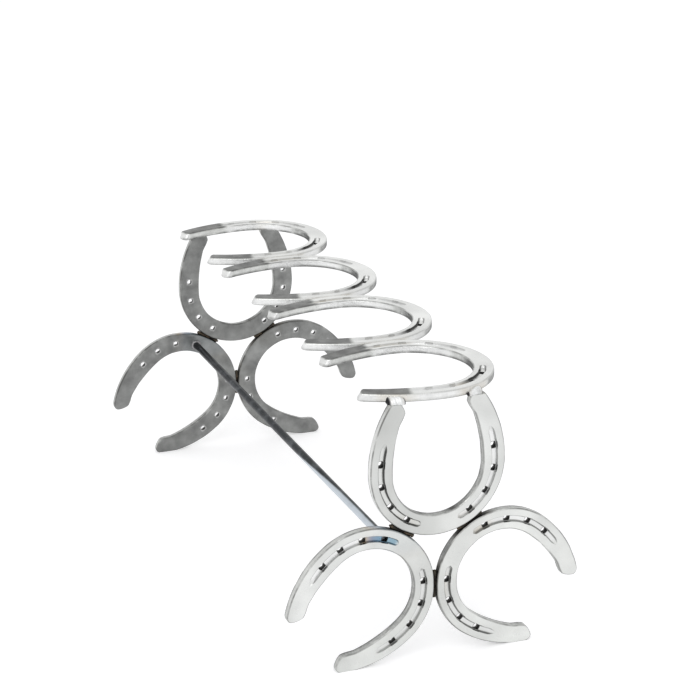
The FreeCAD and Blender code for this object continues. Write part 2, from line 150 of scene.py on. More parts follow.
# hollow carries painted shade and soot, edge painted shade lines and soot, scale painted shade, and
# the last mark painted highlight and polish
MARKS = ("hollow", "sunk", "wall", "edge", "temper", "scale", "polish")
MERGED = 0.002 * MM


def smooth_step(value):
    value = min(max(value, 0.0), 1.0)
    return value * value * (3 - 2 * value)


def skin(rows, columns, place):
    """A closed skin of rows by columns, wrapped into a tube along its rows.

    place(row, column) gives a point's place, its place on the straight bar and its marks; the end
    rows meet in a point, a line or each other.  Returns the mesh and its vertices by (row, column).
    """
    bm = bmesh.new()
    bar = bm.verts.layers.float_vector.new("bar")
    layers = {mark: bm.verts.layers.float.new(mark) for mark in MARKS}
    bmesh.ops.create_grid(bm, x_segments=rows - 1, y_segments=columns, size=0.5)
    found = {}
    for vert in bm.verts:
        row = round((vert.co.x + 0.5) * (rows - 1))
        column = round((vert.co.y + 0.5) * columns) % columns
        found[row, column] = vert
        vert.co, vert[bar], marks = place(row, column)
        for mark, value in marks.items():
            vert[layers[mark]] = value
    return bm, found


def close(bm):
    """Merge a skin's seam and its end rows."""
    bmesh.ops.remove_doubles(bm, verts=bm.verts, dist=MERGED)
    bmesh.ops.dissolve_degenerate(bm, edges=bm.edges, dist=MERGED)
    bmesh.ops.recalc_face_normals(bm, faces=bm.faces)


def closed_skin(rows, columns, place):
    bm, _ = skin(rows, columns, place)
    close(bm)
    return bm


def to_mesh(name, bm, material):
    mesh = bpy.data.meshes.new(name)
    bm.to_mesh(mesh)
    bm.free()
    mesh.materials.append(material)
    return mesh


def add_object(name, data):
    made = bpy.data.objects.new(name, data)
    bpy.context.scene.collection.objects.link(made)
    return made


# ---- forging a shoe

# side is -1 on the inner wall, 1 on the outer one and 0 on a face.  On a face, sunk is the point's
# share of the crease's depth and place its distance from the middle of the crease; where sunk is
# None, place is a share of the way from the inner to the outer edge.
Column = namedtuple("Column", "side set_in height place sunk wall back edge hollow",
                    defaults=(None, None, 0, 0, 0, 0))

# how dark the painted shade is on the floor of the crease
FLOOR_DARK = 0.05
# distance from the middle, share of the depth and painted shade, from the shoulder to the floor
CREASE_PROFILE = ((CREASE_HALF + 0.5 * MM, 0, 0), (CREASE_HALF, 0.05, 0.9),
                  (CREASE_HALF - 0.3 * MM, 0.3, 1.0), (CREASE_FLOOR_HALF + 0.15 * MM, 0.9, 0.9),
                  (CREASE_FLOOR_HALF - 0.1 * MM, 1, 0.6),
                  (CREASE_FLOOR_HALF - 0.6 * MM, 1, FLOOR_DARK))
CREASE_LIP = 0.3  # share of the depth down to which a crease's painted shade line goes
CREASE_CLOSED = 0.12  # how far its lines stay apart where there is no crease
CREASE_OPENING = 0.6  # below 1 they part while the crease is still shallow
CREASE_HIGHLIGHT = 0.8  # how bright the painted highlight in the creases is
UPPER_EDGE = 0.8  # how dark the painted shade line along the edge of the fullered face is
WALL_LINES = ((0.65, 0), (0.45, 0), (0.3, 0.5))  # height on a wall, darkness of its painted shade line

# other lines along the faces, as shares of the way from the inner to the outer edge
INNER_LINES = (0.015, 0.035)
OUTER_LINES = (0.86, 0.94)
OUTER_BACK_LINES = (0.93, 0.85)

WALL_FOOT_SHADE = 1.2  # how much painted shade there is at the foot of a wall
WALL_TOP_SHADE_DROP = 0.5  # and how much less of it there is at the top
TIP_FADE = 0.4  # turn of the heel's round end over which its painted shading changes
SEED_APART = 0.7  # keeps the marks of one shoe apart from those of the next

CLUB = 1.7 * MM  # how far a clubbed heel swells inwards
CLUB_LENGTH = 14 * MM  # over this length
CLUB_LEAD = 1.2  # which begins this share of it before the round end
CLUB_LEAN = 0.3  # how far the end leans out, as a share of its half-width
CLUB_REACH = 0.87  # its length, as a share of a plain one's
CLUB_CUT = 0.34  # how much straighter the inner corner is cut than the outer one

# painted shade inside a nail hole, and lighter at the lip of its exit
NAIL_DARK = 1.0
NAIL_LIP_DARK = 0.7
NAIL_EXIT_POLISH = 0.4
CORNER_COSINE = 0.5


def section_columns(thickness):
    """The points round the bar's section, from the inner edge over the fullered face."""
    columns = []

    def rim(side, upper, rising):
        for number in range(RIM_STEPS + 1):
            step = number if rising else RIM_STEPS - number
            turn = pi / 2 * step / RIM_STEPS
            drop = RIM * (1 - sin(turn))
            # edge: painted shade line along the middle of an upper rim and over a lower rim
            columns.append(Column(
                side, RIM * (1 - cos(turn)), thickness - drop if upper else drop,
                wall=1 - sin(turn), back=0 if upper else sin(turn),
                edge=UPPER_EDGE * sin(2 * turn) if upper else cos(turn)))

    def lines(places, sunk=None, hollow=0, back=0):
        for place in places:
            columns.append(Column(
                0, RIM, thickness * (1 - back), place, sunk, back=back, hollow=hollow))

    def wall(side, shares):
        for share, edge in shares:
            columns.append(Column(side, 0, thickness * share, wall=1, edge=edge))

    rim(-1, upper=True, rising=True)
    lines(INNER_LINES)
    for place, sunk, hollow in CREASE_PROFILE:
        lines([-place], sunk, hollow)
    lines([0], 1, FLOOR_DARK)
    for place, sunk, hollow in reversed(CREASE_PROFILE):
        lines([place], sunk, hollow)
    lines(OUTER_LINES)
    rim(1, upper=True, rising=False)
    wall(1, WALL_LINES)
    rim(1, upper=False, rising=True)
    lines(OUTER_BACK_LINES, back=1)
    lines((NAIL_CLEAR, NAIL_EXIT_RADIUS, 0, -NAIL_EXIT_RADIUS, -NAIL_CLEAR), 0, back=1)
    lines(reversed(INNER_LINES), back=1)
    rim(-1, upper=False, rising=False)
    wall(-1, reversed(WALL_LINES))
    return columns


def crease_share(pattern, run):
    """How deep the crease is at a run, from 0 to 1."""
    start = pattern.run_at(CREASE_START)
    end = pattern.quarter + CREASE_PAST
    return min(smooth_step((run - start) / CREASE_TOE_FADE),
               smooth_step((end - run) / CREASE_HEEL_FADE))


def stations(pattern):
    """Runs of the sections from toe to heel, and the numbers of those through a nail hole."""
    half = NAIL_HALF * pattern.toe / (pattern.toe - CREASE_INSET)
    breaks = [0.0, pattern.run_at(CREASE_START)]
    holes = []
    for angle in NAIL_ANGLES:
        middle = pattern.run_at(angle)
        holes.append((middle - half, middle + half))
        breaks.extend((middle - half - NAIL_LEAD, *holes[-1], middle + half + NAIL_LEAD))
    breaks.append(pattern.heel_run())
    runs = [breaks[0]]
    hole_rows = []
    for start, end in zip(breaks, breaks[1:]):
        at_hole = (start, end) in holes
        if at_hole:
            hole_rows.append(len(runs))
        count = 2 if at_hole else max(1, round((end - start) / STEP))
        runs.extend(start + (end - start) * number / count for number in range(1, count + 1))
    return runs, hole_rows


def swollen_place(away):
    """Where a line of the crease lies beside a nail hole, from its distance elsewhere."""
    shoulder, floor = CREASE_PROFILE[0][0], CREASE_PROFILE[-1][0]
    return NAIL_HALF_WIDTH + (away - floor) * (
        shoulder + NAIL_SWELL - NAIL_HALF_WIDTH) / (shoulder - floor)


def painted_shading_at(column, left, thickness, cap_turn, sunk):
    """How much painted shade a point gets, below zero a painted highlight."""
    walled = left.outer if column.side > 0 else left.inner
    if walled > 0:
        walled *= WALL_FOOT_SHADE - WALL_TOP_SHADE_DROP * column.height / thickness
    shade_sum = (left.face * (1 - column.wall) + column.wall * walled) * (1 - column.back)
    capped = smooth_step(cap_turn / TIP_FADE) * column.wall
    shade_sum = (shade_sum + left.back * column.back) * (1 - capped) + left.tip * capped
    return shade_sum - CREASE_HIGHLIGHT * sunk * (1 - left.crease_walls)


def forge(pattern, thickness, seed, painted_shading, squared=(1.0, 1.0), slant=0.0, club=0.0):
    """A whole shoe, lying flat with its fullered face up.

    hand is 1 on its left branch and -1 on its right one, seen from the toe; the shading function,
    called with (run, hand), gives the painted shade there, below zero a painted highlight.  squared
    holds a power for the right heel and one
    for the left, lower for a boxier heel; slant is how far the top of its end is ground back.
    club is how far a heel swells inwards before its end, which then leans outwards and is a little
    short.
    """
    columns = section_columns(thickness)
    runs, hole_rows = stations(pattern)
    branch = [(run, 0.0) for run in runs]
    branch += [(runs[-1], pi / 2 * number / CAP_STEPS) for number in range(1, CAP_STEPS + 1)]
    rows = [(*row, -1) for row in reversed(branch[1:])] + [(*row, 1) for row in branch]
    toe_row = len(branch) - 1
    hole_rows = [toe_row + hand * number for hand in (-1, 1) for number in hole_rows]
    swollen = {number + beside for number in hole_rows for beside in (-1, 0, 1)}
    lean, reach, cut = (CLUB_LEAN, CLUB_REACH, CLUB_CUT) if club else (0.0, 1.0, 0.0)

    def place(row, number):
        run, cap_turn, hand = rows[row]
        column = columns[number]
        middle, half, out = pattern.section(run)
        inner, outer = (
            half - HAMMERED * max(0, noise.noise((hand * run / HAMMER_MARKS, side, seed)))
            for side in (-1, 1))
        inner += club * smooth_step((run - runs[-1]) / CLUB_LENGTH + CLUB_LEAD)
        left = painted_shading(run, hand)
        height, dark, depth = column.height, column.hollow, 0.0
        if column.side:
            across = outer - column.set_in if column.side > 0 else column.set_in - inner
        elif column.sunk is None:
            across = RIM - inner + column.place * (inner + outer - 2 * RIM)
        else:
            depth = crease_share(pattern, run)
            away = abs(column.place)
            if row in swollen and column.sunk and away:
                away = swollen_place(away)
            spread = CREASE_CLOSED + (1 - CREASE_CLOSED) * depth**CREASE_OPENING
            across = half - CREASE_INSET + copysign(away, column.place) * spread
            height -= CREASE_DEPTH * column.sunk * depth
            # painted shade on the crease's walls and along its edges
            if column.sunk > CREASE_LIP:
                dark *= depth * left.crease_walls
            else:
                dark *= depth * (left.outer_line if column.place > 0 else left.inner_line)
        power = squared[0] if hand < 0 else squared[1]
        power *= 1 + cut * max(0.0, -across / half)
        width = cos(cap_turn) ** power if cap_turn < pi / 2 else 0.0
        length = sin(cap_turn) ** power if cap_turn else 0.0
        ahead = Vector((out.y, -out.x))
        ground = slant * smooth_step(height / thickness) * length
        point = middle + out * (across * width + lean * half * (1 - width))
        point += ahead * ((half - column.set_in) * length * reach - ground)
        sunk = (column.sunk or 0) * depth
        # above zero painted shade, below zero painted highlight
        scale = painted_shading_at(column, left, thickness, cap_turn, sunk)
        marks = {"hollow": dark, "sunk": sunk, "wall": column.wall,
                 "edge": column.edge * (left.outer_rim if column.side > 0 else left.inner_rim),
                 "scale": max(scale, 0), "polish": max(-scale, 0)}
        on_bar = (hand * (run + half * length) + seed * SEED_APART, across * width, height)
        return Vector((point.x, hand * point.y, height)), on_bar, marks

    bm, found = skin(len(rows), len(columns), place)
    mouth = next(i for i, column in enumerate(columns) if column.sunk == 1 and column.place == 0)
    back = next(i for i, column in enumerate(columns) if column.sunk == 0 and column.place == 0)
    for row in hole_rows:
        punch(bm, found[row, mouth], found[row, back])
    close(bm)
    return bm


def open_window(bm, centre):
    """Take out the four faces round a vertex; returns the edges round the window."""
    window = [edge for face in centre.link_faces for edge in face.edges if centre not in edge.verts]
    bmesh.ops.delete(bm, geom=[centre], context="VERTS")
    return window


def punch(bm, mouth_centre, back_centre):
    """A nail hole: a square mouth in the crease, straight walls and a round exit."""
    hollow = bm.verts.layers.float["hollow"]
    polish = bm.verts.layers.float["polish"]
    top = mouth_centre.co.copy()
    bottom = back_centre.co.copy()
    mouth = open_window(bm, mouth_centre)
    back = open_window(bm, back_centre)
    # painted shade in the hole's mouth, throat and exit lip
    for vert in {vert for edge in mouth for vert in edge.verts}:
        if is_corner(vert, mouth):
            vert.co = top + (vert.co - top) * NAIL_CORNER
        vert[hollow] = NAIL_DARK
    for vert in {vert for edge in back for vert in edge.verts}:
        vert.co = bottom + (vert.co - bottom).normalized() * NAIL_EXIT_RADIUS
        vert[polish] = NAIL_EXIT_POLISH
    throat, throat_ring = drawn_in(bm, mouth)
    for vert in throat:
        vert.co = top + (vert.co - top) * NAIL_THROAT - Vector((0, 0, NAIL_THROAT_DEPTH))
        vert[hollow] = NAIL_DARK
    lip, lip_ring = drawn_in(bm, back)
    for vert in lip:
        vert.co.z += NAIL_LIP
        vert[hollow] = NAIL_LIP_DARK
        vert[polish] = 0.0
    bmesh.ops.bridge_loops(bm, edges=throat_ring + lip_ring)


def drawn_in(bm, edges):
    """Extrude a window's edge loop; returns the new vertices and the loop through them."""
    grown = bmesh.ops.extrude_edge_only(bm, edges=edges)["geom"]
    verts = {part for part in grown if isinstance(part, bmesh.types.BMVert)}
    ring = [part for part in grown if isinstance(part, bmesh.types.BMEdge)
            and set(part.verts) <= verts]
    return verts, ring


def is_corner(vert, loop):
    """Whether a window's edge loop turns at a vertex."""
    first, second = [(edge.other_vert(vert).co - vert.co).normalized()
                     for edge in loop if vert in edge.verts]
    return abs(first.dot(second)) < CORNER_COSINE


# ---- painted shade and highlight of the shoes

# How much painted shade each side of the bar gets, below zero a painted highlight instead, and
# how dark the painted shade lines along the rims and the crease and the crease's walls are.
PaintedShading = namedtuple("PaintedShading", "face outer inner back tip outer_rim inner_rim "
                    "outer_line inner_line crease_walls")
Branch = namedtuple("Branch", "face outer outer_line inner_line crease_walls")

# painted shade, below zero painted highlight, keyed by hand, which at the near end is 1 on the
# upright shoe's left branch, on the lower one of the left foot and on the upper one of the right foot
FRAME_BRANCHES = {
    "upright": {1: Branch(0.17, -0.3, 0.85, 0.85, 0.7), -1: Branch(-0.18, 0.3, 0.1, 0.6, 0.1)},
    "left_foot": {1: Branch(0.02, 0.3, 0.1, 0.55, 0.3), -1: Branch(-0.22, 0.1, 0.95, 0.1, 0.1)},
    "right_foot": {1: Branch(-0.05, 0.3, 0.55, 0.45, 0.4), -1: Branch(0.0, 0.6, 0.75, 0.55, 0.5)},
}
# painted shade on inner walls, backs and heel ends; strength of the painted shade lines on the rims
FRAME_SHARED = {"inner": 0.38, "back": 0.80, "tip": 0.2, "outer_rim": 1.0, "inner_rim": 0.8}
TOE_BLEND = 80 * MM  # length over which one branch's painted shading turns into the other's

# how the painted shade and highlight of a row shoe change: where a change starts and over what
# length, in millimetres of the run from the middle of the toe; a length below zero ends what it names
TOE_END = (64, -40)
# a crescent of painted shade on the inner wall inside the toe
CRESCENT_START = (-46, 16)  # on the far branch
CRESCENT_DEEPENING = (-25, 45)
CRESCENT_END = (38, -6)  # on the near branch
LINES_START = (18, 16)
LINES_END = (94, -24)
DIM_END = (72, -14)
ROW_HEEL = ROW_SHOE.quarter + CREASE_PAST
HEEL_DARK = {1: 8 * MM, -1: 16 * MM}  # how far before that the painted shade of a heel begins
HEEL_FADE = 8 * MM


def frame_painted_shading(kind):
    branches = FRAME_BRANCHES[kind]

    def painted_shading(run, hand):
        share = smooth_step(0.5 + hand * run / TOE_BLEND)
        face, outer = (branches[-1][side] * (1 - share) + branches[1][side] * share
                       for side in (0, 1))
        own = branches[hand]._replace(face=face, outer=outer)
        return PaintedShading(**FRAME_SHARED, **own._asdict())
    return painted_shading


def change(run, start, length):
    """From 0 to 1 over a change, or from 1 to 0 where its length is below zero."""
    return smooth_step((run - start * MM) / (length * MM))


def row_painted_shading(run, hand):
    """Painted shade on heels, a crescent in the toe and the near crease; else painted highlight."""
    along = hand * run
    heel = smooth_step((run - ROW_HEEL + HEEL_DARK[hand]) / HEEL_FADE)
    toe = change(run, *TOE_END)
    crescent = change(along, *CRESCENT_START) * change(along, *CRESCENT_END)
    # the crescent's painted shade deepens towards the near branch
    deeper = 1.05 + 1.2 * change(along, *CRESCENT_DEEPENING)
    # painted shade lines along the near branch's crease, and painted shade on its outer wall by the
    # toe
    near = change(run, *LINES_START) if hand > 0 else 0.0
    dim = near * change(run, *DIM_END)
    near *= change(run, *LINES_END)
    return PaintedShading(face=-0.5 + 1.42 * heel, outer=-0.75 + 0.9 * toe + 1.1 * dim,
                  inner=-0.85 + 0.9 * heel + deeper * crescent,
                  back=0.6, tip=-0.9, outer_rim=0.35, inner_rim=0.8,
                  outer_line=0.3 + 0.3 * near, inner_line=0.12 + 0.85 * near,
                  crease_walls=0.15 + 0.8 * near)


# ---- the shoes

SHARP = radians(38)
HEAT_REACH = 15 * MM
# reach of the soot and painted shade on the walls beside the frame welds
SHADE_AND_SOOT_REACH = 8 * MM
ROW_COUNT = 4
ROW_WARMTH = 0.24
ROW_SLANT = 3.2 * MM
SQUARE_HEEL = 0.55  # the nearest heel of the row is boxier than the others
ROUND_HEEL = 0.85
UPRIGHT_LEAN = radians(2.2)
LEFT_FOOT_ANGLE = radians(39)
RIGHT_FOOT_ANGLE = radians(37)

# each frame shoe's pattern, the angle of its heels above +X, how hot it became and its welds
FRAME_SHOES = {
    "upright": (UPRIGHT_SHOE, pi / 2 + UPRIGHT_LEAN, 0.13,
                ("frame_weld_left", "frame_weld_right", "heel_weld_left", "heel_weld_right")),
    "left_foot": (FRAME_SHOE, pi + LEFT_FOOT_ANGLE, 1.0, ("frame_weld_left", "bar_weld")),
    "right_foot": (FRAME_SHOE, -RIGHT_FOOT_ANGLE, 0.2, ("frame_weld_right", "frame_weld_middle")),
}
FRAME_WELDS = {"left": ("left_foot", "upright"), "right": ("right_foot", "upright"),
               "middle": ("left_foot", "right_foot")}


def add_piece(name, bm, material, slot, *nodes):
    """A finished mesh as a piece that stands for CAD nodes and rides with them."""
    mesh = to_mesh(name, bm, material)
    mesh.shade_smooth()
    mesh.set_sharp_from_angle(angle=SHARP)
    piece = add_object(name, mesh)
    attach(piece, "root")
    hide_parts(*nodes)


def level_off(bm, height, keep_below):
    """Grind the mesh level at a height."""
    cut = bmesh.ops.bisect_plane(
        bm, geom=bm.verts[:] + bm.edges[:] + bm.faces[:], plane_co=(0, 0, height),
        plane_no=(0, 0, 1 if keep_below else -1), clear_outer=True)
    edges = [part for part in cut["geom_cut"] if isinstance(part, bmesh.types.BMEdge)]
    bmesh.ops.holes_fill(bm, edges=edges)


def warm(bm, strength, welds):
    """Mark how hot each point became, by its distance from the nearest of the welds' CAD nodes."""
    temper = bm.verts.layers.float["temper"]
    boxes = [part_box(weld) for weld in welds]
    for vert in bm.verts:
        nearest = (Vector(min(max(vert.co[i], low[i]), high[i]) for i in range(3))
                   for low, high in boxes)
        away = min((vert.co - place).length for place in nearest)
        vert[temper] = strength * exp(-(away / HEAT_REACH) ** 2)


def blacken(bm, welds):
    """Soot and painted shade on the walls beside the welds' CAD nodes."""
    hollow, wall, edge = (bm.verts.layers.float[mark] for mark in ("hollow", "wall", "edge"))
    boxes = [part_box(weld) for weld in welds]
    for vert in bm.verts:
        away = min(max(abs(vert.co[i] - (low[i] + high[i]) / 2) - (high[i] - low[i]) / 2
                       for i in (0, 2)) for low, high in boxes)
        shade_and_soot = exp(-(max(away, 0) / SHADE_AND_SOOT_REACH) ** 2)
        vert[hollow] = max(vert[hollow], shade_and_soot * vert[wall])
        vert[edge] = max(vert[edge], shade_and_soot * vert[wall])


def row_centre(number):
    """Centre of a row shoe's toe arc, at its underside."""
    low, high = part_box(f"row_shoe_{number}")
    return Vector((high.x - ROW_SHOE.toe, (low.y + high.y) / 2, low.z))


def row_shoe(number):
    """One shoe of the row, its mouth towards -X."""
    node = f"row_shoe_{number}"
    low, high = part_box(node)
    bm = forge(ROW_SHOE, high.z - low.z, number, row_painted_shading,
               (ROUND_HEEL, SQUARE_HEEL if number == 1 else ROUND_HEEL), ROW_SLANT)
    bm.transform(Matrix.Translation(row_centre(number)) @ Matrix.Rotation(pi, 4, "Z"))
    welds = [f"row_weld_{first}_{first + 1}" for first in (number - 1, number)
             if 0 < first < ROW_COUNT]
    if number in (1, ROW_COUNT):
        end = "near" if number == 1 else "far"
        welds += [f"{end}_heel_weld_left", f"{end}_heel_weld_right"]
    warm(bm, ROW_WARMTH, welds)
    add_piece(f"{node}_forged", bm, STEEL, "satin_steel", node)


def stand_up(bm, centre, face_side, heel_angle):
    """Turn a flat shoe upright, its fullered face outwards, its heels at an angle above +X."""
    turn = Matrix.Rotation(-heel_angle, 4, "Y") @ Matrix.Rotation(-face_side * pi / 2, 4, "X")
    bm.transform(Matrix.Translation(centre) @ turn)


def toe_centre(end, face_side, kind):
    """Centre of a frame shoe's toe arc at its back, from the box of its CAD node."""
    low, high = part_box(f"{end}_{kind}_shoe")
    back = low.y if face_side > 0 else high.y
    toe = FRAME_SHOE.toe
    if kind == "upright":
        return Vector((high.x - toe, back, low.z + toe))
    side = high.x - toe if kind == "left_foot" else low.x + toe
    return Vector((side, back, high.z - toe))


def frame_shoe(end, face_side, kind, seed):
    """One shoe of an end frame."""
    node = f"{end}_{kind}_shoe"
    low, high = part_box(node)
    pattern, angle, warmth, welds = FRAME_SHOES[kind]
    bm = forge(pattern, high.y - low.y, seed, frame_painted_shading(kind), club=CLUB)
    stand_up(bm, toe_centre(end, face_side, kind), face_side, angle)
    upright = kind == "upright"
    level_off(bm, high.z if upright else 0, keep_below=upright)
    warm(bm, warmth, [f"{end}_{weld}" for weld in welds])
    blacken(bm, [f"{end}_{weld}" for weld in welds if weld.startswith("frame_weld")])
    add_piece(f"{node}_forged", bm, STEEL, "satin_steel", node)


# ---- welds and the bar

BEAD_SINK = 0.35 * MM  # how far a bead bites into the shoes
BEAD_RIPPLE = 2.3 * MM  # length of a ripple
BEAD_RIPPLED, BEAD_LUMPED = 0.06, 0.16  # height of ripples and lumps, as shares of the depth
BEAD_DEPTH = 0.9
FRAME_BEAD_HALF = 14.5 * MM
ROW_BEAD_HALF = 14 * MM
ROW_BEAD_POLISH = 0.7

HEEL_RIPPLE = 3.1 * MM
HEEL_RIPPLED, HEEL_LUMPED = 0.03, 0.10
HEEL_WELD_SPREAD = 0.9 * MM  # how far a heel's bead runs past its CAD node at each end
HEEL_WELD_END = 0.25  # its size there, as a share
HEEL_WELD_LEG = 0.92
HEEL_WELD_TOP = 0.8  # height of its back, as a share of the CAD node's
HEEL_WELD_SINK = 1.2 * MM  # how far its back lies inside the row shoe
HEEL_WELD_FOOT = 0.8 * MM  # how far it goes into the upright shoe
HEEL_FRONT, HEEL_BACK = 10, 4  # lines along its front and its back
HEEL_TURN, HEEL_SWEEP = -14, 118  # where the arc of its front starts and how far it goes round

BAR_RIPPLES = 11
BAR_RIPPLED, BAR_LUMPED = 0.07, 0.12
BAR_LEG_MOST = 0.98
# the fillet round the bar: out from the bar and back along it, as shares of the leg
BAR_FILLET = ((-0.4, 0.0), (1.0, 0.0), (0.98, 0.3), (0.75, 0.62), (0.42, 0.85), (0.16, 0.97),
              (-0.4, 0.9), (-0.4, 0.45))
BAR_CHAMFER = 0.4 * MM
BAR_DENT = 0.06 * MM
BAR_DARK_SIDE = Vector((0.695, 0, 0.72))  # towards the side that the painted reflection never reaches
BAR_REFLECTION_NEAR, BAR_REFLECTION_FAR = 0.5, -1.3  # reach of the painted reflection round the bar, near and further on
BAR_REFLECTION_START, BAR_REFLECTION_LENGTH = 0.12, 0.4  # where that changes, as shares of its length
BAR_REFLECTION_FADE = 0.5


def rough(*place):
    """Noise between -1 and 1, with lumps about a millimetre across, at a place."""
    return noise.noise(Vector(place) / MM)


def rounded(value, power):
    return copysign(abs(value) ** power, value)


def add_bead(node, bm):
    add_piece(f"{node}_bead", bm, WELD, "weld_bead", node)


def seam_bead(node, start, along, across, front, half_length, gap_at, polish=0.0):
    """A bead that fills the gap between two shoes.

    start is its middle; along, across and front are its directions, and gap_at(s) is half the gap
    at a distance s along it.
    """
    low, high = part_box(node)
    half_depth = abs((high - low).dot(front)) / 2
    rows, columns = 41, 16

    def place(row, column):
        share = 2 * row / (rows - 1) - 1
        s = share * half_length
        turn = 2 * pi * column / columns
        run_out = sqrt(max(0.0, 1 - share**6))
        ragged = 1 + 0.9 * share**2 * (rough(s / 2, start.x, start.z) - 0.15)
        half_width = (gap_at(s) + BEAD_SINK) * run_out * min(ragged, 1)
        ripple = BEAD_RIPPLED * cos(2 * pi * s / BEAD_RIPPLE + 1.2 * cos(turn))
        lump = BEAD_LUMPED * rough(s / 2, column / 3 * MM, start.x + start.y)
        depth = half_depth * run_out * (BEAD_DEPTH + ripple + lump)
        side, out = rounded(cos(turn), 0.6), rounded(sin(turn), 0.8)
        point = start + along * s + across * side * half_width + front * out * depth
        marks = {"temper": 0.3 * abs(share), "polish": polish}
        return point, (s, side * half_width, out * depth), marks

    add_bead(node, closed_skin(rows, columns, place))


def frame_weld(end, face_side, side, kinds):
    """The bead where two shoes of a frame meet."""
    node = f"{end}_frame_weld_{side}"
    low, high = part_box(node)
    first, second = (toe_centre(end, face_side, kind) for kind in kinds)
    reach = (second - first).length / 2
    across = (second - first).normalized()
    front = Vector((0, face_side, 0))
    start = (first + second) / 2
    start.y = (low.y + high.y) / 2
    toe = FRAME_SHOE.toe
    seam_bead(node, start, across.cross(front), across, front, FRAME_BEAD_HALF,
              lambda s: reach - sqrt(toe**2 - s**2))


def row_weld(number):
    """The bead between two shoes of the row, laid in the groove between their edges."""
    node = f"row_weld_{number}_{number + 1}"
    low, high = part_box(node)
    near, far = row_centre(number), row_centre(number + 1)
    start = Vector((near.x, (near.y + far.y) / 2, (low.z + high.z) / 2))
    pitch = (far.y - near.y) / 2
    seam_bead(node, start, Vector((1, 0, 0)), Vector((0, 1, 0)), Vector((0, 0, 1)), ROW_BEAD_HALF,
              lambda s: pitch - ROW_SHOE.outer_half(-s), ROW_BEAD_POLISH)


def heel_weld(end, face_side, side):
    """A fillet on a heel of the upright shoe, up against the edge of the row shoe."""
    node = f"{end}_heel_weld_{side}"
    low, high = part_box(node)
    tall = high.z - low.z
    centre = row_centre(1 if face_side < 0 else ROW_COUNT)
    front = high.y if face_side > 0 else -low.y
    rows, columns = 31, HEEL_FRONT + HEEL_BACK

    def place(row, column):
        share = 2 * row / (rows - 1) - 1
        x = (low.x + high.x) / 2 + share * ((high.x - low.x) / 2 + HEEL_WELD_SPREAD)
        wall = abs(centre.y) + ROW_SHOE.outer_half(centre.x - x)
        body = HEEL_WELD_END + (1 - HEEL_WELD_END) * sqrt(max(0.0, 1 - share**4))
        if column < HEEL_FRONT:
            turn = radians(HEEL_TURN + HEEL_SWEEP * column / (HEEL_FRONT - 1))
            lump = 1 + HEEL_RIPPLED * cos(2 * pi * x / HEEL_RIPPLE + 2 * turn)
            lump += HEEL_LUMPED * rough(x / 4, turn * 2 * MM, face_side * 7 * MM)
            leg = (front - wall) * cos(turn)**2 + tall * sin(turn)**2
            reach = min(leg * HEEL_WELD_LEG * lump, front - wall) * body
            out, up = reach * cos(turn), reach * sin(turn)
        else:
            down = (column - HEEL_FRONT) / (HEEL_BACK - 1)
            out = -HEEL_WELD_SINK
            up = tall * HEEL_WELD_TOP * body * (1 - down) - HEEL_WELD_FOOT * down
        if row in (0, rows - 1):
            out, up = 0.0, 0.0
        point = Vector((x, face_side * (wall + out), low.z + up))
        # the fillet's undercut ends are painted in shade; its middle is ground bright
        ground_bright = smooth_step((1 - abs(share)) * 5 - 0.5 + 0.5 * rough(x / 2, 5 * MM, 3 * MM))
        marks = {"polish": ground_bright, "hollow": 0.98 * (1 - ground_bright), "temper": 0.8 * share**2}
        return point, (x, out, up), marks

    add_bead(node, closed_skin(rows, columns, place))


def bar_weld(end, face_side):
    """A fillet run round an end of the bar, against the back of the left foot shoe."""
    node = f"{end}_bar_weld"
    low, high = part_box(node)
    bar_low, bar_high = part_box("tie_bar")
    back = high.y if face_side > 0 else low.y
    middle = Vector(((low.x + high.x) / 2, back, (low.z + high.z) / 2))
    bar = (bar_high.x - bar_low.x) / 2
    leg = high.y - low.y
    rows = 97

    def place(row, column):
        turn = 2 * pi * (row % (rows - 1)) / (rows - 1)
        lump = rough(4 * MM * cos(turn), 4 * MM * sin(turn), face_side * 9 * MM)
        uneven = 1 + BAR_LUMPED * lump
        uneven += BAR_RIPPLED * cos(BAR_RIPPLES * turn)
        out, off = BAR_FILLET[column]
        radius = bar + min(out * leg * uneven, BAR_LEG_MOST * leg)
        point = middle + Vector((radius * cos(turn), -face_side * off * leg, radius * sin(turn)))
        return point, (turn * bar, radius, off * leg), {"temper": 0.5, "polish": 0.2}

    add_bead(node, closed_skin(rows, len(BAR_FILLET), place))


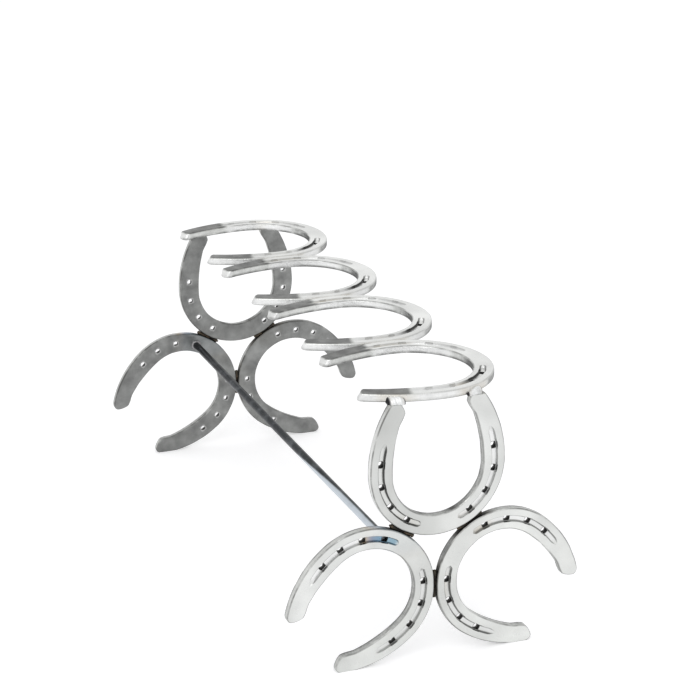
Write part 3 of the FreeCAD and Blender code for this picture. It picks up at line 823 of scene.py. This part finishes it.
def tie_bar():
    """The drawn round bar; its lower left side gets a painted reflection towards the near end."""
    low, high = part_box("tie_bar")
    radius = (high.x - low.x) / 2
    rows, columns = 91, 48
    ends = [(low.y, 0.0), (low.y, radius - BAR_CHAMFER), (low.y + BAR_CHAMFER, radius)]
    inner = rows - 2 * len(ends)
    span = high.y - low.y - 2 * BAR_CHAMFER
    stops = ends + [(low.y + BAR_CHAMFER + span * (number + 1) / (inner + 1), radius)
                    for number in range(inner)]
    stops += [(low.y + high.y - y, r) for y, r in reversed(ends)]

    def place(row, column):
        y, r = stops[row]
        turn = 2 * pi * column / columns
        out = Vector((cos(turn), 0, sin(turn)))
        dent = BAR_DENT * max(0, rough(y / 9, 6 * MM * out.x, 6 * MM * out.z)) * (r == radius)
        point = Vector(((low.x + high.x) / 2, y, (low.z + high.z) / 2)) + out * (r - dent)
        # painted reflection on the lower left side, reaching less far round away from the near end
        away = (y - low.y) / (high.y - low.y)
        edge = BAR_REFLECTION_NEAR + (BAR_REFLECTION_FAR - BAR_REFLECTION_NEAR) * smooth_step(
            (away - BAR_REFLECTION_START) / BAR_REFLECTION_LENGTH)
        painted_reflection = smooth_step((edge - out.dot(BAR_DARK_SIDE)) / BAR_REFLECTION_FADE + 0.5)
        return point, (y, turn * radius, 0), {"polish": painted_reflection}

    add_piece("tie_bar_drawn", closed_skin(rows, columns, place), BAR, "bar_steel", "tie_bar")


# ---- materials

NOISE_LOW, NOISE_HIGH = 0.3, 0.7  # nearly all of a noise lies between these
FACE_COLOUR = (0.785, 0.797, 0.775)  # ground and tumbled faces
# painted highlight on the shoes, and the bright ring round a nail hole's exit
POLISH_AND_HIGHLIGHT_COLOUR = (0.93, 0.935, 0.93)
SHADE_AND_SCALE_COLOUR = (0.14, 0.142, 0.14)  # painted shade on sides and backs, scale patches and streaks
LINE_COLOUR = (0.07, 0.07, 0.067)  # painted shade along the rolled edges; soot by the frame welds
# painted shade in creases, nail holes and heel weld undercuts; soot beside the frame welds
HOLLOW_SHADE_AND_SOOT_COLOUR = (0.022, 0.021, 0.020)
HEAT_TINTS = ((0, FACE_COLOUR), (0.14, (0.66, 0.61, 0.50)), (0.28, (0.50, 0.41, 0.28)),
              (0.42, (0.50, 0.46, 0.44)), (0.60, (0.34, 0.38, 0.48)), (0.80, (0.27, 0.42, 0.56)),
              (1, (0.34, 0.50, 0.60)))
WALL_TINT, FACE_TINT, BEAD_TINT = 0.4, 0.05, 0.45  # how much of the heat tint stays there
BARE_PATCHES, BARE_STREAKS = 0.1, 0.08  # how much of them shows on a wall without painted shade
DARK_BLUED, LIGHT_BLUED = (0.020, 0.023, 0.026), (0.038, 0.043, 0.048)
# colour of the painted reflection on the bar
BAR_REFLECTION_COLOUR = (0.58, 0.63, 0.68)
# soot with painted shade, for beads sunk in the gaps between shoes
GAP_SHADE_AND_SOOT, GAP_SHADE_AND_BURNT_SOOT = (0.014, 0.013, 0.012), (0.075, 0.055, 0.038)
BRIGHT_BEAD = (0.86, 0.87, 0.87)


class Wiring:
    """Adds and joins the nodes of a tree."""

    def __init__(self, tree):
        self.tree = tree

    def join(self, source, target):
        """Put a number, a colour or another node's output into an input."""
        if isinstance(source, bpy.types.NodeSocket):
            self.tree.links.new(source, target)
        else:
            target.default_value = source

    def fill(self, node, inputs):
        for name, source in inputs.items():
            self.join(source, node.inputs[name])

    def node(self, kind, inputs=None, **settings):
        made = self.tree.nodes.new(kind)
        for name, value in settings.items():
            setattr(made, name, value)
        self.fill(made, inputs or {})
        return made

    def mark(self, name):
        """One of the marks carried by a mesh."""
        return self.node("ShaderNodeAttribute", attribute_name=name).outputs["Fac"]

    def bar(self):
        """The place on the straight bar."""
        return self.node("ShaderNodeAttribute", attribute_name="bar").outputs["Vector"]

    def place(self):
        return self.node("ShaderNodeTexCoord").outputs["Object"]

    def stretch(self, vector, scale):
        return self.node("ShaderNodeMapping", {"Vector": vector, "Scale": scale}).outputs["Vector"]

    def noise(self, vector, scale, detail=3, roughness=0.55):
        return self.node("ShaderNodeTexNoise", {
            "Vector": vector, "Scale": scale, "Detail": detail, "Roughness": roughness,
        }).outputs["Fac"]

    def use(self, tree, **inputs):
        """A shared effect with its inputs set; returns its outputs."""
        return self.node("ShaderNodeGroup", inputs, node_tree=tree).outputs

    def math(self, operation, first, second, clamp=False):
        return self.node("ShaderNodeMath", {0: first, 1: second},
                         operation=operation, use_clamp=clamp).outputs[0]

    def times(self, first, second, clamp=False):
        return self.math("MULTIPLY", first, second, clamp)

    def plus(self, first, second, clamp=False):
        return self.math("ADD", first, second, clamp)

    def remap(self, value, low, high, to_low=0, to_high=1):
        return self.node("ShaderNodeMapRange", {
            "Value": value, "From Min": low, "From Max": high, "To Min": to_low, "To Max": to_high,
        }).outputs["Result"]

    def vary(self, value, low=0, high=1):
        """A noise as a number between two others."""
        return self.remap(value, NOISE_LOW, NOISE_HIGH, low, high)

    def mix(self, share, first, second):
        """Two colours mixed; a mix node also has sockets for other kinds of value."""
        made = self.node("ShaderNodeMix", {"Factor": share}, data_type="RGBA")
        targets = [socket for socket in made.inputs if socket.type == "RGBA"]
        for source, target in zip((first, second), targets):
            self.join(source if isinstance(source, bpy.types.NodeSocket) else (*source, 1), target)
        return next(socket for socket in made.outputs if socket.type == "RGBA")

    def darken(self, colour, share):
        """A colour times a number."""
        return self.node("ShaderNodeVectorMath", {0: colour, "Scale": share},
                         operation="SCALE").outputs[0]

    def ramp(self, value, stops):
        made = self.node("ShaderNodeValToRGB", {"Fac": value})
        elements = made.color_ramp.elements
        for number, (position, colour) in enumerate(stops):
            element = elements[number] if number < 2 else elements.new(position)
            element.position = position
            element.color = (*colour, 1)
        return made.outputs["Color"]

    def bump(self, height, strength, distance, normal=None):
        inputs = {"Strength": strength, "Distance": distance, "Height": height}
        if normal:
            inputs["Normal"] = normal
        return self.node("ShaderNodeBump", inputs).outputs["Normal"]


def new_material(name, metallic=1):
    material = bpy.data.materials.new(name)
    material.use_nodes = True
    shader = material.node_tree.nodes["Principled BSDF"]
    shader.inputs["Metallic"].default_value = metallic
    return material, Wiring(material.node_tree), shader


def effect(name, inputs, outputs):
    """A node group for several materials: the group, its wiring, what it is given and its end."""
    tree = bpy.data.node_groups.new(name, "ShaderNodeTree")
    for in_out, sockets in (("INPUT", inputs), ("OUTPUT", outputs)):
        for socket, kind in sockets.items():
            tree.interface.new_socket(name=socket, in_out=in_out, socket_type=f"NodeSocket{kind}")
    wire = Wiring(tree)
    return tree, wire, wire.node("NodeGroupInput").outputs, wire.node("NodeGroupOutput")


def metal_grain():
    """Clouds, grain and streaks of worked metal, and the small bumps that go with them."""
    tree, wire, given, end = effect(
        "metal_grain", {"Place": "Vector", "Bar": "Vector", "Streaks": "Float"},
        {**dict.fromkeys(("Cloud", "Drift", "Grain", "Streak"), "Float"), "Normal": "Vector"})
    place = given["Place"]
    cloud = wire.noise(place, 60, 4)
    drift = wire.noise(place, 18, 2)
    grain = wire.noise(place, 900, 3)
    streak = wire.noise(wire.stretch(given["Bar"], (640, 70, 110)), 1, 3)
    pits = wire.remap(wire.noise(place, 330, 1), 0.66, 0.78)
    fine = wire.bump(grain, 0.12, 0.0004)
    coarse = wire.bump(cloud, 0.3, 0.0015, fine)
    pitted = wire.bump(wire.times(pits, -1), 0.5, 0.0003, coarse)
    shear = wire.bump(wire.times(streak, given["Streaks"]), 0.5, 0.0007, pitted)
    wire.fill(end, {"Cloud": cloud, "Drift": drift, "Grain": grain, "Streak": streak,
                    "Normal": shear})
    return tree


def heat_tint():
    """The straw, brown and blue that steel turns beside a weld."""
    tree, wire, given, end = effect(
        "heat_tint", {"Color": "Color", "Heat": "Float", "Cloud": "Float", "Share": "Float"},
        {"Color": "Color"})
    heat = wire.times(given["Heat"], wire.vary(given["Cloud"], 0.75, 1.2), True)
    tint = wire.ramp(heat, HEAT_TINTS)
    share = wire.times(wire.remap(heat, 0.08, 0.3), given["Share"], True)
    wire.fill(end, {"Color": wire.mix(share, given["Color"], tint)})
    return tree


def hollow_shade_and_soot():
    """Painted shade in hollows, and soot beside the welds."""
    tree, wire, given, end = effect(
        "hollow_shade_and_soot", {"Color": "Color", "Roughness": "Float", "Hollow": "Float"},
        {"Color": "Color", "Roughness": "Float"})
    share = wire.times(given["Hollow"], 0.97, True)
    wire.fill(end, {"Color": wire.mix(share, given["Color"], HOLLOW_SHADE_AND_SOOT_COLOUR),
                    "Roughness": wire.plus(given["Roughness"], wire.times(share, 0.25))})
    return tree


def satin_steel():
    """Forged steel: light faces, painted shade and highlight on the sides and backs, painted shade
    and soot in the hollows, and tints beside the welds.
    """
    material, wire, shader = new_material("satin_steel")
    wall, hollow, scale = wire.mark("wall"), wire.mark("hollow"), wire.mark("scale")
    surface = wire.use(GRAIN, Place=wire.place(), Bar=wire.bar(), Streaks=wall)
    # painted shade, mottled by the clouds
    shaded = wire.times(scale, wire.vary(surface["Cloud"], 0.82, 1.15), True)
    patch = wire.noise(wire.stretch(wire.bar(), (110, 260, 430)), 1, 4, 0.65)
    patch = wire.times(wire.remap(patch, 0.48, 0.60), wire.times(wall, 0.95))
    patch = wire.times(patch, wire.plus(scale, BARE_PATCHES), True)
    streak = wire.times(wire.remap(surface["Streak"], 0.35, 0.65, 0.7, 0), wall)
    streak = wire.times(streak, wire.plus(scale, BARE_STREAKS))
    # painted shade lines along the rims, and soot beside the frame welds
    line = wire.times(wire.mark("edge"), wire.remap(surface["Cloud"], 0.3, 0.55), True)
    colour = FACE_COLOUR
    # in turn: painted shade, painted highlight, scale patches, shear streaks, painted shade lines
    for share, coat in ((shaded, SHADE_AND_SCALE_COLOUR), (wire.mark("polish"), POLISH_AND_HIGHLIGHT_COLOUR),
                        (patch, SHADE_AND_SCALE_COLOUR), (streak, SHADE_AND_SCALE_COLOUR), (line, LINE_COLOUR)):
        colour = wire.mix(share, colour, coat)
    kept = wire.math("MAXIMUM", wire.times(wall, WALL_TINT), wire.mark("sunk"))
    colour = wire.use(HEATED, Color=colour, Heat=wire.mark("temper"), Cloud=surface["Cloud"],
                      Share=wire.plus(kept, FACE_TINT))["Color"]
    shade = wire.times(wire.vary(surface["Cloud"], 0.95, 1),
                       wire.remap(surface["Drift"], 0.3, 0.65, 0.80, 1))
    colour = wire.darken(colour, wire.times(shade, wire.vary(surface["Grain"], 0.96, 1)))
    dull = wire.plus(wire.vary(surface["Grain"], 0.26, 0.38), wire.times(scale, 0.12))
    darkened = wire.use(HOLLOW_SHADE_AND_SOOT, Color=colour, Roughness=dull, Hollow=hollow)
    wire.fill(shader, {"Base Color": darkened["Color"], "Roughness": darkened["Roughness"],
                       "Normal": surface["Normal"]})
    return material


def bar_steel():
    """Blued drawn bar with fine lines round it and a bright painted reflection along one side."""
    material, wire, shader = new_material("bar_steel")
    surface = wire.use(GRAIN, Place=wire.place(), Bar=wire.bar(), Streaks=0.3)
    # painted reflection, mottled by the clouds
    painted_reflection = wire.plus(wire.mark("polish"), wire.vary(surface["Cloud"], -0.12, 0.12), True)
    drawn = wire.noise(wire.stretch(wire.bar(), (6, 1500, 1)), 1, 2)
    blued = wire.mix(wire.vary(drawn), DARK_BLUED, LIGHT_BLUED)
    colour = wire.mix(painted_reflection, blued, BAR_REFLECTION_COLOUR)
    wire.fill(shader, {
        "Base Color": wire.darken(colour, wire.vary(surface["Grain"], 0.9, 1)),
        "Roughness": wire.vary(drawn, 0.3, 0.42),
        "Normal": wire.bump(drawn, 0.15, 0.0003, surface["Normal"])})
    return material


def weld_bead():
    """Weld metal: soot and painted shade between the shoes, bright where it was brushed."""
    material, wire, shader = new_material("weld_bead")
    polish, temper = wire.mark("polish"), wire.mark("temper")
    surface = wire.use(GRAIN, Place=wire.place(), Bar=wire.bar(), Streaks=1)
    uneven = wire.times(wire.vary(surface["Cloud"], -0.35, 0.35), polish)
    # soot and painted shade on the sunk beads
    shade_and_soot = wire.mix(wire.remap(surface["Cloud"], 0.5, 0.62), GAP_SHADE_AND_SOOT, GAP_SHADE_AND_BURNT_SOOT)
    colour = wire.mix(wire.plus(polish, uneven, True), shade_and_soot, BRIGHT_BEAD)
    colour = wire.use(HEATED, Color=colour, Heat=temper, Cloud=surface["Cloud"],
                      Share=wire.times(temper, BEAD_TINT))["Color"]
    darkened = wire.use(HOLLOW_SHADE_AND_SOOT, Color=colour, Roughness=wire.vary(surface["Grain"], 0.3, 0.5),
                     Hollow=wire.mark("hollow"))
    lumps = wire.times(wire.noise(wire.place(), 420, 2), wire.remap(polish, 0, 1, 1, 0.3))
    wire.fill(shader, {"Base Color": darkened["Color"], "Roughness": darkened["Roughness"],
                       "Normal": wire.bump(lumps, 0.6, 0.0008, surface["Normal"])})
    return material


GRAIN, HEATED, HOLLOW_SHADE_AND_SOOT = metal_grain(), heat_tint(), hollow_shade_and_soot()
STEEL = satin_steel()
BAR = bar_steel()
WELD = weld_bead()


# ---- build

for shoe_number in range(1, ROW_COUNT + 1):
    row_shoe(shoe_number)
shoe_seed = ROW_COUNT
for end_name, facing in (("near", -1), ("far", 1)):
    for kind_name in FRAME_SHOES:
        shoe_seed += 1
        frame_shoe(end_name, facing, kind_name, shoe_seed)
    for weld_side, joined in FRAME_WELDS.items():
        frame_weld(end_name, facing, weld_side, joined)
    for weld_side in ("left", "right"):
        heel_weld(end_name, facing, weld_side)
    bar_weld(end_name, facing)
for shoe_number in range(1, ROW_COUNT):
    row_weld(shoe_number)
tie_bar()


# ---- stage, light and camera

FLOOR_HALF = 12.0
FLOOR_LIFT = 0.34  # how much the floor shines, so that it looks white
WORLD_LIGHT = 0.8
KEY_PLACE = Vector((-1.6, -2.2, 2.6))
KEY_AIM = Vector((0, 0, 0.12))
KEY_SIZE = 2.0
KEY_POWER = 24
SENSOR = 36.0
FRAME_PX = 700
CAMERA_FOCUS_PX = 2229.2
CAMERA_FAR = 60
CAMERA_PLACE = (-0.7749, -2.0218, 0.9799)
CAMERA_TURN = radians(21.64)
CAMERA_PITCH = radians(19.57)
CAMERA_ROLL = radians(0.63)


def seen_or_mirrored(wire):
    """1 for what the camera sees, directly or in a gloss."""
    path = wire.node("ShaderNodeLightPath")
    return wire.math("MAXIMUM", path.outputs["Is Camera Ray"], path.outputs["Is Glossy Ray"])


def white_floor():
    bm = bmesh.new()
    bmesh.ops.create_grid(bm, x_segments=1, y_segments=1, size=FLOOR_HALF)
    material, wire, shader = new_material("floor", metallic=0.0)
    wire.fill(shader, {
        "Base Color": (0.86, 0.86, 0.87, 1), "Roughness": 0.9, "Specular IOR Level": 0.0,
        "Emission Color": (1, 1, 1, 1),
        "Emission Strength": wire.times(seen_or_mirrored(wire), FLOOR_LIFT)})
    floor = add_object("floor", to_mesh("floor", bm, material))


def studio_world():
    """White where it is seen, and softer as a light."""
    world = bpy.data.worlds.new("studio")
    bpy.context.scene.world = world
    world.use_nodes = True
    wire = Wiring(world.node_tree)
    wire.fill(world.node_tree.nodes["Background"], {
        "Color": (1, 1, 1, 1),
        "Strength": wire.remap(seen_or_mirrored(wire), 0, 1, WORLD_LIGHT, 1.0)})


def key_light():
    light = bpy.data.lights.new("key", "AREA")
    light.shape = "SQUARE"
    light.size = KEY_SIZE
    light.energy = KEY_POWER
    lamp = add_object("key", light)
    lamp.location = KEY_PLACE
    lamp.rotation_euler = (KEY_AIM - KEY_PLACE).to_track_quat("-Z", "Y").to_euler()


def camera():
    """Camera at its place, turned from looking along +Y, pitched down and rolled."""
    data = bpy.data.cameras.new("camera")
    data.sensor_width = SENSOR
    data.lens = CAMERA_FOCUS_PX * SENSOR / FRAME_PX
    data.clip_end = CAMERA_FAR
    turn, pitch, roll = CAMERA_TURN, CAMERA_PITCH, CAMERA_ROLL
    ahead = Vector((cos(pitch) * sin(turn), cos(pitch) * cos(turn),
                    -sin(pitch)))
    level_right = Vector((cos(turn), -sin(turn), 0))
    level_up = level_right.cross(ahead)
    right = cos(roll) * level_right + sin(roll) * level_up
    up = -sin(roll) * level_right + cos(roll) * level_up
    axes = Matrix((right, up, -ahead)).transposed().to_4x4()
    seen = add_object("camera", data)
    seen.matrix_world = Matrix.Translation(CAMERA_PLACE) @ axes
    bpy.context.scene.camera = seen


white_floor()
studio_world()
key_light()
camera()
bpy.context.scene.view_settings.view_transform = "Standard"
